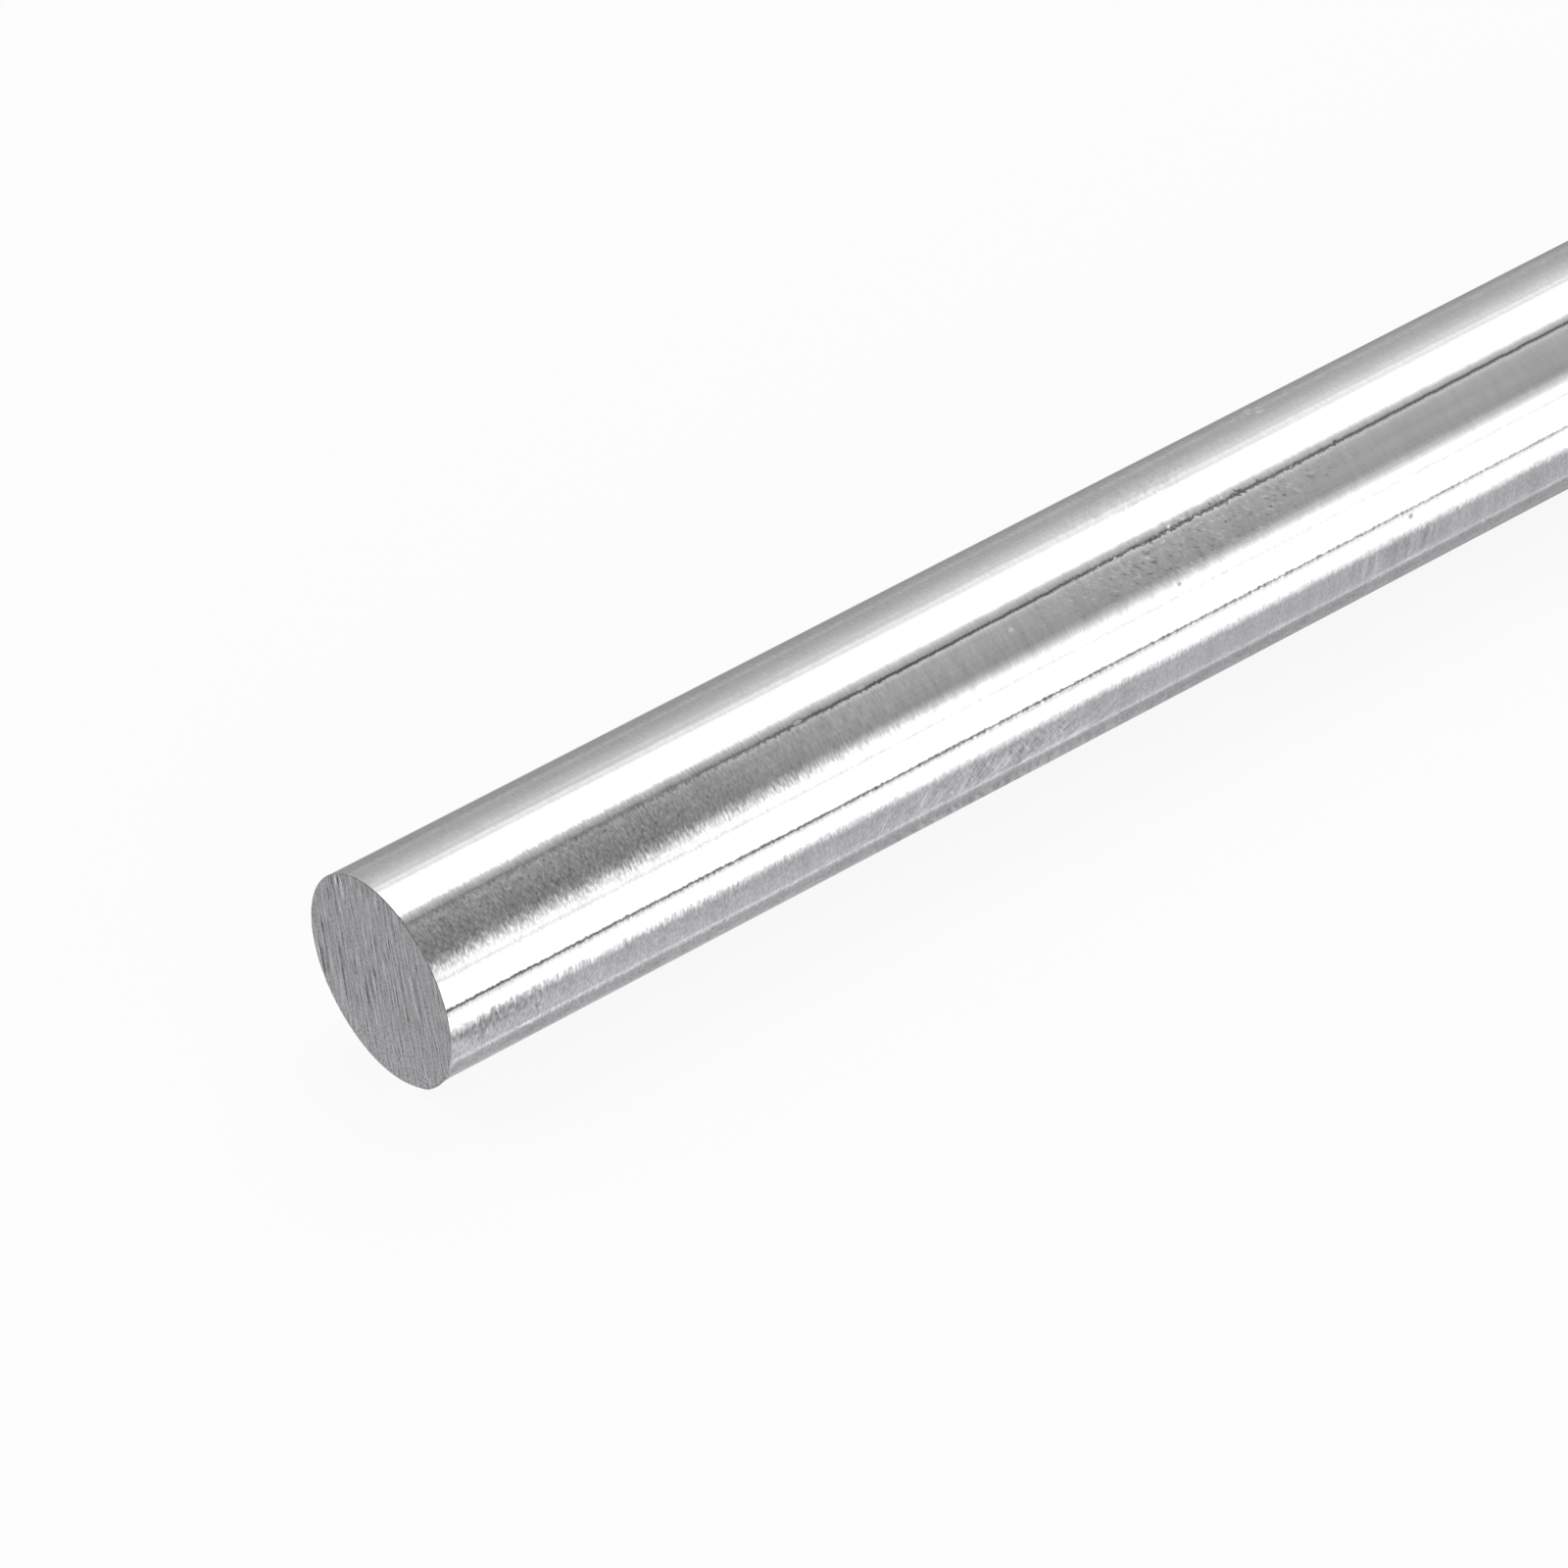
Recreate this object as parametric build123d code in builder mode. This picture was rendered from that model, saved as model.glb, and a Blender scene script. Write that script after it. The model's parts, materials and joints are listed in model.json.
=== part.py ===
from build123d import *
import os

# Round metal bar: one solid length of ground steel stock, cut square at both ends.
# Units are millimetres. The bar lies along X with its underside on the plane z = 0,
# and the origin is the point of that plane below the middle of the bar.

# ---- Driving dimensions ----
bar_diameter = 10.0  # ground to size along its whole length
bar_length = 200.0  # from cut face to cut face
edge_break = 0.05  # the burr is only just taken off the rim of each cut face

# ---- Places worked out from them ----
bar_radius = bar_diameter / 2
near_end_plane = Plane(
    origin=(-bar_length / 2, 0, bar_radius),
    x_dir=(0, 1, 0),
    z_dir=(1, 0, 0),
)

# ---- The bar ----
# The round section is drawn on the near cut face and runs to the far one. The two round
# edges where the ground side meets the cut faces are then broken.
with BuildPart() as round_bar:
    with BuildSketch(near_end_plane):
        Circle(bar_radius)
    extrude(amount=bar_length)
    end_rims = round_bar.edges().filter_by(GeomType.CIRCLE)
    chamfer(end_rims, length=edge_break)

round_bar.part.label = "round_bar"

# ---- Output ----
os.makedirs("parts", exist_ok=True)
export_step(round_bar.part, "parts/round_bar.step")

bar_size = round_bar.part.bounding_box().size
print(f"round_bar: {bar_size.X:.2f} x {bar_size.Y:.2f} x {bar_size.Z:.2f} mm")
print(f"round_bar: {round_bar.part.volume:.1f} mm3")
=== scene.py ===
# %% [markdown]
# # A ground steel bar
# Round bar is sold ground bright along its side and cut square at the ends. This lesson takes
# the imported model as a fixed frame, models the finish of the real thing round it, and lights
# it so that the polished side shows long, calm bands. The frame comes first, because every
# size and place below is read from it.

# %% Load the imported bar
import json
import math

import bpy
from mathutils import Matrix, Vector


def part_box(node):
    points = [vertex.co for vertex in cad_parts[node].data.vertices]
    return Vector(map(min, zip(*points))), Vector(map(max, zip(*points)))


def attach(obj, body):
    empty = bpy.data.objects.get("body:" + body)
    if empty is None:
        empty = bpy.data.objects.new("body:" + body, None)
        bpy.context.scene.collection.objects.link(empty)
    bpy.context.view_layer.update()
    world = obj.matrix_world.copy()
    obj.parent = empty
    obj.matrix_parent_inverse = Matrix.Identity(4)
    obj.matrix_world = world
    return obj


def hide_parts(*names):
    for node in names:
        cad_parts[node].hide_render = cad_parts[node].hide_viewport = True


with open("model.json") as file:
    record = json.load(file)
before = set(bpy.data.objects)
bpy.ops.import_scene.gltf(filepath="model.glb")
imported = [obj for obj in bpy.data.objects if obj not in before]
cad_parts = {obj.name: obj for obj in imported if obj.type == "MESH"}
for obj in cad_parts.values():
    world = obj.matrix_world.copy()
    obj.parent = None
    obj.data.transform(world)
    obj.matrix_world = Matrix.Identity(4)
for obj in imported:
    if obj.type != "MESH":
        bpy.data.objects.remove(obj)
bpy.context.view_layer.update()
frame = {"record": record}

# %% [markdown]
# ## Sizes
# The bar's ground side is one of the record's mounts, so its radius and the height of its
# axis are read from there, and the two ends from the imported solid. Everything else in the
# script is a multiple of these, or a size of the finish itself, in metres.

# %% Sizes of the bar
MM = 0.001
ground_side = next(m for m in frame["record"]["mounts"] if m["name"] == "ground_side")
bar_radius = ground_side["dims"]["r_mm"] * MM
axis_height = ground_side["pos_m"][2]
near_corner, far_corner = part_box("round_bar")
bar_length = far_corner.x - near_corner.x
near_end = Vector((near_corner.x, 0, axis_height))
print(f"bar: radius {bar_radius / MM:.2f} mm, length {bar_length / MM:.1f} mm")

# %% [markdown]
# ## Camera
# A long lens from almost ninety radii away keeps the two edges of the bar nearly
# parallel. The camera looks at a point on the axis just over four radii in from the near end,
# so that the cut face stands in the lower left and the bar runs out of the picture.

# %% Camera
camera_azimuth = math.radians(-37.982)
camera_elevation = math.radians(41.755)
camera_distance = 88.06 * bar_radius
camera_aim = near_end + bar_radius * Vector((4.283, -0.072, -0.064))

camera_data = bpy.data.cameras.new("long_lens")
camera_data.lens = 233.6
camera_data.sensor_width = 36.0
camera_data.clip_start = 0.01
camera_data.clip_end = 50.0
camera = bpy.data.objects.new("camera", camera_data)
bpy.context.scene.collection.objects.link(camera)
camera.rotation_euler = (math.pi / 2 - camera_elevation, 0, camera_azimuth)
line_of_sight = camera.rotation_euler.to_matrix() @ Vector((0, 0, -1))
camera.location = camera_aim - camera_distance * line_of_sight
bpy.context.scene.camera = camera
bpy.context.scene.view_settings.view_transform = "Standard"
print("camera stands at", [round(c, 4) for c in camera.location])

# %% [markdown]
# ## Node helpers
# Shader trees and geometry trees are both built from the same few moves: add a node, fill its
# sockets with values or with links, and use its output in the next one.

# %% Node helpers
def add_node(tree, kind, sockets=None, **settings):
    """A new node with its settings chosen and its sockets filled with values or links."""
    node = tree.nodes.new(kind)
    for name, value in settings.items():
        setattr(node, name, value)
    for name, value in (sockets or {}).items():
        if isinstance(value, bpy.types.NodeSocket):
            tree.links.new(value, node.inputs[name])
        else:
            node.inputs[name].default_value = value
    return node


def math_node(tree, operation, *values):
    """The result of one sum on numbers or sockets."""
    return add_node(tree, "ShaderNodeMath", dict(enumerate(values)), operation=operation).outputs[0]


def carried(operation):
    """A function that carries one sum through any count of numbers or sockets."""

    def through(tree, *values):
        result = values[0]
        for value in values[1:]:
            result = math_node(tree, operation, result, value)
        return result

    return through


times = carried("MULTIPLY")
plus = carried("ADD")
minus = carried("SUBTRACT")
most = carried("MAXIMUM")


def ramp_value(tree, value, from_min, from_max, to_min=0.0, to_max=1.0, kind="SMOOTHSTEP"):
    """The value carried from one range to another, held at both ends."""
    sockets = {"Value": value, "From Min": from_min, "From Max": from_max}
    sockets.update({"To Min": to_min, "To Max": to_max})
    return add_node(tree, "ShaderNodeMapRange", sockets, interpolation_type=kind).outputs["Result"]


def combine(tree, x, y, z=0.0):
    """Numbers or sockets as one vector."""
    return add_node(tree, "ShaderNodeCombineXYZ", {0: x, 1: y, 2: z}).outputs[0]


def split(tree, vector):
    """The X, Y and Z of a vector."""
    return add_node(tree, "ShaderNodeSeparateXYZ", {0: vector}).outputs


def vector_math(tree, operation, sockets):
    """The outputs of one sum on vectors."""
    return add_node(tree, "ShaderNodeVectorMath", sockets, operation=operation).outputs


def noise_at(tree, place, detail, roughness=0.5):
    """Noise from nought to one that changes within one unit of the place."""
    sockets = {"Vector": place, "Scale": 1.0, "Detail": detail, "Roughness": roughness}
    return add_node(tree, "ShaderNodeTexNoise", sockets).outputs["Fac"]


def place_on_object(tree):
    """The X, Y and Z of the object's own coordinates, in metres."""
    return split(tree, add_node(tree, "ShaderNodeTexCoord").outputs["Object"])


def angle_from_top(tree, parts):
    """Radians round the bar's axis from straight up, positive to the front."""
    height = minus(tree, parts["Z"], axis_height)
    return math_node(tree, "ARCTAN2", times(tree, parts["Y"], -1.0), height)


def new_material(name):
    """An empty material and its tree, with only the output node in it."""
    material = bpy.data.materials.new(name)
    material.use_nodes = True
    material.node_tree.nodes.clear()
    output = material.node_tree.nodes.new("ShaderNodeOutputMaterial")
    return material, material.node_tree, output


# %% [markdown]
# ## Light tent
# A polished bar shows what stands round it as bands along its length, so the studio is a tent
# over the bar. Half a tunnel of cloth runs along it, closed at both ends. Its brightness
# changes only with the angle round the bar: a bright panel overhead, another in front, and
# quieter cloth between them with one dark seam. The tent is hidden from the camera.

# %% Glow that changes across a surface
brightest_cloth = 2.0


def ramp_colour(tree, share, stops, blue=1.0):
    """A grey that follows stops of share and glow, as a part of the brightest glow."""
    ramp = add_node(tree, "ShaderNodeValToRGB", {"Fac": share})
    marks = ramp.color_ramp.elements
    while len(marks) < len(stops):
        marks.new(0.5)
    for mark, (position, glow) in zip(marks, stops):
        level = glow / brightest_cloth
        mark.position = position
        mark.color = (level, level, blue * level, 1)
    return ramp.outputs["Color"]


def glow_surface(tree, output, colour, strength):
    """Gives the material this glow."""
    glow = add_node(tree, "ShaderNodeEmission", {"Color": colour, "Strength": strength})
    tree.links.new(glow.outputs[0], output.inputs["Surface"])


# %% Light tent
tent_radius = 1.5
tent_half_length = 1.6
tent_steps = 96
end_wall_glow = 0.4

# The angle goes round the bar from straight up, positive to the front; then the glow there.
tent_glow = [
    (-90, 0.48),
    (-77, 0.535),
    (-63, 0.70),
    (-55, 0.88),
    (-51.5, 0.86),
    (-49.4, 1.16),
    (-47.4, 1.24),
    (-45.0, 0.98),
    (-42.8, 1.22),
    (-40.5, 1.60),
    (-8.5, 1.75),
    (-5.4, 0.90),
    (-2.0, 0.60),
    (1.0, 0.52),
    (4.0, 0.50),
    (6.2, 0.66),
    (8.6, 0.60),
    (13, 0.53),
    (29, 0.475),
    (40, 0.42),
    (43, 0.41),
    (48, 0.58),
    (52, 0.90),
    (57, 1.50),
    (61, 1.80),
    (65.8, 1.80),
    (67.7, 1.25),
    (69.6, 1.25),
    (71.5, 1.90),
    (90, 2.00),
]


def tent_cloth():
    """Cloth that glows by the angle round the bar's axis."""
    material, tree, output = new_material("tent_cloth")
    angle = angle_from_top(tree, place_on_object(tree))
    share = math_node(tree, "MULTIPLY_ADD", angle, 1 / math.pi, 0.5)
    stops = [(degrees / 180 + 0.5, glow) for degrees, glow in tent_glow]
    glow_surface(tree, output, ramp_colour(tree, share, stops), brightest_cloth)
    return material


def plain_glow(name, strength):
    """A surface that glows evenly, white."""
    material, tree, output = new_material(name)
    glow_surface(tree, output, (1, 1, 1, 1), strength)
    return material


def stage_object(name, points, faces, materials):
    """A mesh that belongs to the studio and not to the bar."""
    mesh = bpy.data.meshes.new(name)
    mesh.from_pydata(points, [], faces)
    for material in materials:
        mesh.materials.append(material)
    made = bpy.data.objects.new(name, mesh)
    bpy.context.scene.collection.objects.link(made)
    print(f"{name}: {len(faces)} faces, {len(materials)} materials")
    return made


tent_points = []
for step in range(tent_steps + 1):
    turn = math.pi * step / tent_steps
    for x in (-tent_half_length, tent_half_length):
        height = axis_height + tent_radius * math.sin(turn)
        tent_points.append((x, tent_radius * math.cos(turn), height))
tent_faces = [(2 * k, 2 * k + 1, 2 * k + 3, 2 * k + 2) for k in range(tent_steps)]
tent_faces.append(tuple(range(0, 2 * tent_steps + 2, 2)))
tent_faces.append(tuple(range(1, 2 * tent_steps + 2, 2)))
tent_materials = [tent_cloth(), plain_glow("tent_end", end_wall_glow)]
tent = stage_object("light_tent", tent_points, tent_faces, tent_materials)
for wall in tent.data.polygons[-2:]:
    wall.material_index = 1
tent.visible_camera = False

# %% [markdown]
# ## Seam of the tent
# A dark tape hides the seam of the cloth, with a light hem beside it. Polished metal shows
# both as thin lines along the bar. They could be stops of the cloth's glow, but they run a
# little aslant, so each is a narrow strip just inside the cloth.

# %% Dark seam of the tent and its light hem
tape_radius = 0.99 * tent_radius

# Metres along the tent, then the angle of the middle and half the width, both in degrees.
seam_tape = [
    (-tent_half_length, 4.7, 0.30),
    (0.60, 4.7, 0.35),
    (0.64, 4.9, 0.90),
    (0.665, 4.9, 1.90),
    (0.69, 4.9, 1.95),
    (0.71, 4.9, 1.65),
    (0.74, 4.8, 1.55),
    (0.77, 4.5, 1.30),
    (0.80, 4.0, 1.25),
    (0.84, 3.1, 1.20),
    (0.88, 1.6, 1.15),
    (1.00, 0.6, 1.10),
    (tent_half_length, -0.3, 1.10),
]
light_hem = [
    (0.63, 8.5, 0.05),
    (0.665, 8.5, 1.20),
    (0.71, 8.4, 1.25),
    (0.74, 8.1, 1.30),
    (0.77, 7.5, 1.30),
    (0.80, 7.0, 1.30),
    (0.84, 6.3, 1.30),
    (0.88, 5.4, 1.30),
    (1.00, 4.2, 1.30),
    (tent_half_length, 3.2, 1.30),
]


def tape_on_tent(name, spine, strength):
    """A tape just inside the cloth, that follows its middle line along the tent."""
    points = []
    for x, middle, half_width in spine:
        for angle in (math.radians(middle - half_width), math.radians(middle + half_width)):
            height = axis_height + tape_radius * math.cos(angle)
            points.append((x, -tape_radius * math.sin(angle), height))
    faces = [(2 * k, 2 * k + 1, 2 * k + 3, 2 * k + 2) for k in range(len(spine) - 1)]
    tape = stage_object(name, points, faces, [plain_glow(name, strength)])
    tape.visible_camera = False


tape_on_tent("seam_tape", seam_tape, 0.01)
tape_on_tent("light_hem", light_hem, 0.80)

# %% [markdown]
# ## Table and world
# The table is plain white. It is mostly lit by the tent, and it keeps the bar's soft shadow.
# Part of its white is its own, for the eye and for polished metal alike, so that it stays
# pale. The world behind it is the same white.

# %% Table and world
table_white = 0.93
table_own_white = 0.88
edge = 15.0


def table_top():
    """White that is part paint, which takes the shadow, and part its own even white."""
    material, tree, output = new_material("table_top")
    light_path = add_node(tree, "ShaderNodeLightPath").outputs
    kinds_of_ray = ("Is Camera Ray", "Is Glossy Ray", "Is Transmission Ray")
    seen = plus(tree, *(light_path[kind] for kind in kinds_of_ray))
    share = times(tree, seen, table_own_white)
    paint_colour = (table_white, table_white, table_white, 1)
    paint = add_node(tree, "ShaderNodeBsdfDiffuse", {"Color": paint_colour}).outputs[0]
    white = add_node(tree, "ShaderNodeEmission", {"Strength": 1.0}).outputs[0]
    both = add_node(tree, "ShaderNodeMixShader", {0: share, 1: paint, 2: white})
    tree.links.new(both.outputs[0], output.inputs["Surface"])
    return material


table_corners = [(-edge, -edge, 0), (edge, -edge, 0), (edge, edge, 0), (-edge, edge, 0)]
stage_object("table", table_corners, [(0, 1, 2, 3)], [table_top()])

world = bpy.data.worlds.new("white_room")
bpy.context.scene.world = world
world.use_nodes = True
background = world.node_tree.nodes["Background"]
background.inputs["Color"].default_value = (1, 1, 1, 1)
background.inputs["Strength"].default_value = 1.0
world.cycles.sampling_method = "NONE"

# %% [markdown]
# ## Cards on the table
# The lower half of the bar mirrors the table. Cards lie there along the bar for the metal
# alone: a bright one in front with a dark tape across it, a cool grey one that shades the
# underside, and duller ones behind. Their glow changes with the distance from the bar and a
# little along it, so each has two ramps, one beside the near end and one further along.

# %% Cards on the table
card_lift = 0.02 * MM
card_reach = 13


def card_face(name, stops, far_along, blue):
    """A card that glows by the radii from the bar's axis, from its near glow to its far glow."""
    material, tree, output = new_material(name)
    parts = place_on_object(tree)
    first, last = stops[0][0], stops[-1][0]
    share = ramp_value(tree, parts["Y"], first * bar_radius, last * bar_radius, kind="LINEAR")
    far_x = near_end.x + far_along * bar_radius
    along = ramp_value(tree, parts["X"], near_end.x, far_x, kind="LINEAR")
    shares = [(stop[0] - first) / (last - first) for stop in stops]
    glows = []
    for which in (1, 2):
        own_stops = [(part, stop[which]) for part, stop in zip(shares, stops)]
        glows.append(ramp_colour(tree, share, own_stops, blue))
    sockets = {0: along, 6: glows[0], 7: glows[1]}
    mixed = add_node(tree, "ShaderNodeMix", sockets, data_type="RGBA").outputs[2]
    glow_surface(tree, output, mixed, brightest_cloth)
    return material


def card_on_table(name, corners, stops, lift=card_lift, far_along=card_reach, blue=1.0):
    """A card with these corners, in metres, seen only by polished metal."""
    points = [(x, y, lift) for x, y in corners]
    face = card_face(name, stops, far_along, blue)
    card = stage_object(name, points, [tuple(range(len(points)))], [face])
    card.visible_camera = False
    card.visible_diffuse = False
    card.visible_shadow = False
    card.visible_transmission = False


def table_card(name, stops, x_ends=(near_end.x, tent_half_length), far_along=card_reach, blue=1.0):
    """A straight card along the bar from the first stop to the last."""
    x_first, x_last = x_ends
    y_first, y_last = stops[0][0] * bar_radius, stops[-1][0] * bar_radius
    corners = [(x_first, y_first), (x_last, y_first), (x_last, y_last), (x_first, y_last)]
    card_on_table(name, corners, stops, far_along=far_along, blue=blue)


# %% Cards before the end and in front
# Each stop has radii from the axis, then the glow beside the near end and further along.
tent_foot = tent_radius / bar_radius
end_stops = [(-tent_foot, 0.885, 0.885), (tent_foot, 0.885, 0.885)]
table_card("end_card", end_stops, (-tent_half_length, near_end.x))
table_card("front_card", [(-tent_foot, 1.9, 1.8), (-2.9, 1.8, 1.7)])

# A dark tape on the front card: radii along from the near end, and out to its far edge.
tape_edge = [
    (0, 11.4),
    (5.2, 10.9),
    (6.3, 10.2),
    (7.5, 10.2),
    (9.5, 9.8),
    (11, 9.6),
    (14, 9.05),
    (15, 8.68),
    (30, 8.6),
]
tape_near_edge = -5.2 * bar_radius
tape_corners = [(near_end.x + along * bar_radius, -out * bar_radius) for along, out in tape_edge]
tape_corners += [(tape_corners[-1][0], tape_near_edge), (near_end.x, tape_near_edge)]
tape_stops = [
    (-10.5, 0.01, 0.01),
    (-8.5, 0.01, 0.01),
    (-8.0, 0.25, 0.01),
    (-7.5, 0.78, 0.72),
    (-6.9, 1.06, 1.10),
    (-6.3, 1.16, 1.28),
    (-5.9, 1.22, 1.36),
    (-5.5, 1.32, 1.42),
    (-5.2, 1.44, 1.50),
]
card_on_table("front_tape", tape_corners, tape_stops, 1.5 * card_lift)

# %% Cards under the bar and behind it
table_card(
    "shaded_strip",
    [
        (-2.9, 1.42, 1.68),
        (-2.75, 1.14, 1.34),
        (-2.6, 0.99, 1.12),
        (-2.46, 0.82, 0.90),
        (-2.34, 0.65, 0.69),
        (-2.22, 0.555, 0.57),
        (-1.96, 0.58, 0.55),
        (-1.55, 0.615, 0.545),
        (-1.35, 0.645, 0.565),
        (-1.22, 0.68, 0.58),
        (-1.18, 0.89, 0.72),
        (-1.125, 0.90, 0.73),
        (-1.085, 0.60, 0.49),
        (-1.03, 0.50, 0.43),
        (-0.9, 0.455, 0.41),
        (-0.8, 0.46, 0.42),
        (-0.72, 0.49, 0.43),
        (-0.64, 0.515, 0.375),
        (-0.56, 0.61, 0.385),
        (-0.48, 0.69, 0.39),
        (0.3, 0.74, 0.41),
    ],
    blue=1.025,
)
table_card(
    "back_card",
    [
        (0.3, 0.86, 0.72),
        (2.2, 0.84, 0.62),
        (2.6, 0.73, 0.54),
        (3.0, 0.485, 0.375),
        (3.4, 0.365, 0.34),
        (4.2, 0.352, 0.36),
        (5.5, 0.38, 0.42),
        (9.0, 0.357, 0.486),
    ],
    far_along=20,
)
table_card(
    "far_back_card",
    [(9.0, 0.357, 0.486), (15.0, 0.374, 0.538), (60.0, 0.36, 0.51), (tent_foot, 0.36, 0.52)],
    far_along=20,
)

# %% [markdown]
# ## Skin of the bar
# The wheel's marks run round the bar, so they are drawn on a flat skin: the bar's surface
# unrolled into millimetres along it and round it. A streak is noise stretched one way on that
# skin, a speck is a rare peak of it, and a worn patch is a soft oval that says where marks
# show. A painted map could hold this, but noise stays sharp at any distance.

# %% The skin of the bar, unrolled
radius_mm = bar_radius / MM
half_length_mm = bar_length / 2 / MM
patch_fades_from = 0.35


def unrolled_skin(tree):
    """Millimetres along the bar from the near end and round it from the top."""
    parts = place_on_object(tree)
    along = math_node(tree, "MULTIPLY_ADD", parts["X"], 1 / MM, half_length_mm)
    return combine(tree, along, times(tree, angle_from_top(tree, parts), radius_mm))


def seen_from(tree, skin, middle, turn, size):
    """The skin measured from a middle, turned by these degrees, in units of a size."""
    sockets = {0: skin, "Location": middle, "Rotation": (0, 0, math.radians(turn)), "Scale": size}
    return add_node(tree, "ShaderNodeMapping", sockets, vector_type="TEXTURE").outputs[0]


def streaks(tree, skin, width, length, turn=0.0, seed=0.0, detail=0.0):
    """Signed noise in streaks of this size in mm, round the bar if they aren't turned."""
    stretched = seen_from(tree, skin, (0, 0, -seed), turn, (width, length, 1))
    noise = noise_at(tree, stretched, detail, roughness=0.6)
    return math_node(tree, "MULTIPLY_ADD", noise, 2.0, -1.0)


def specks(tree, skin, width, length, turn, seed):
    """Signed noise that is close to nought but for scattered specks."""
    noise = streaks(tree, skin, width, length, turn=turn, seed=seed)
    return times(tree, noise, noise, noise, 8.0)


def worn_patch(tree, skin, along, degrees, half_along, half_degrees, turn=0.0):
    """One in an oval patch of the skin and nought outside it; along is in radii."""
    middle = (along * radius_mm, math.radians(degrees) * radius_mm, 0)
    half_size = (half_along * radius_mm, math.radians(half_degrees) * radius_mm, 1)
    centred = seen_from(tree, skin, middle, turn, half_size)
    away = vector_math(tree, "LENGTH", {0: centred})["Value"]
    return ramp_value(tree, away, patch_fades_from, 1.0, 1.0, 0.0)


def between(tree, value, starts, whole, fades, ends):
    """One where the value is from whole to fades, with soft edges out to starts and ends."""
    return times(tree, ramp_value(tree, value, starts, whole), ramp_value(tree, value, ends, fades))


# %% [markdown]
# ## Ground steel of the side
# Fine marks run round the ground side, so a highlight spreads along it far more than round
# it, as in an anisotropic shader. Each mark also leans the surface by up to a few degrees,
# which frays the edges of the bands. Bump could do it, but a lean in radians keeps its
# strength at any distance. A bar is held and stacked by its ends, so the marks are coarser and
# duller there, and the plainest are placed one by one. The steel's colour is also painted
# darker on the front near the ends, as painted shade for a dark reflection. Patches of painted
# shade and painted highlight lighten and darken the reflected bands and lines.

# %% Handling marks
# Radii along, degrees from the top, half sizes, turn, width and length in mm, how far they lean
# the surface, how far they change its shade, and what kind of noise they are.
handling_marks = [
    (8.3, 28, 1.3, 26, -38, 0.1, 0.9, 0.01, 0.12, streaks),
    (8.8, 22.5, 2.1, 6, 0, 0.24, 0.24, 0.022, 0, specks),
    (1.5, 83.5, 3.0, 5.5, 0, 0.11, 0.55, 0.045, 0, streaks),
    (8.5, 32, 2.2, 17, 35, 0.26, 0.12, 0.012, 0.21, specks),
    (1.6, 34, 2.6, 16, 0, 0.15, 0.15, 0.01, 0.14, specks),
    (8.3, -8, 1.2, 16, 30, 0.14, 0.6, 0.014, 0.12, streaks),
    (5.6, 95, 1.5, 13, 40, 0.13, 0.8, 0.03, 0.32, streaks),
    (6.1, 92, 1.1, 12, -32, 0.12, 0.7, 0.03, 0.32, streaks),
    (6.6, 97, 1.2, 12, 60, 0.14, 1.1, 0.02, 0.26, streaks),
    (5.6, 124, 1.3, 18, -28, 0.26, 3.2, 0.02, 0.8, streaks),
    (7.0, 123, 1.7, 18, -20, 0.26, 3.2, 0.02, 0.6, streaks),
    (5.9, 103, 2.2, 3.0, 0, 1.5, 0.14, 0.01, 0.3, streaks),
    (6.0, 70.9, 9.5, 1.9, 0, 0.17, 0.45, 0, 0.75, streaks),
    (0.5, 88, 1.2, 17, 0, 0.12, 0.28, 0.01, 0.36, streaks),
    (10.6, 92, 1.0, 13, 6, 0.27, 5.0, 0.04, 0.36, streaks),
    (9.9, -27, 0.22, 9, 0, 0.25, 0.5, 0.01, 0.25, specks),
    (7.6, -31, 2.6, 12, 14, 0.16, 1.2, 0.006, 0.1, streaks),
    (1.2, -34, 0.3, 7, 20, 0.2, 2.0, 0.012, 0.15, streaks),
]
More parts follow.
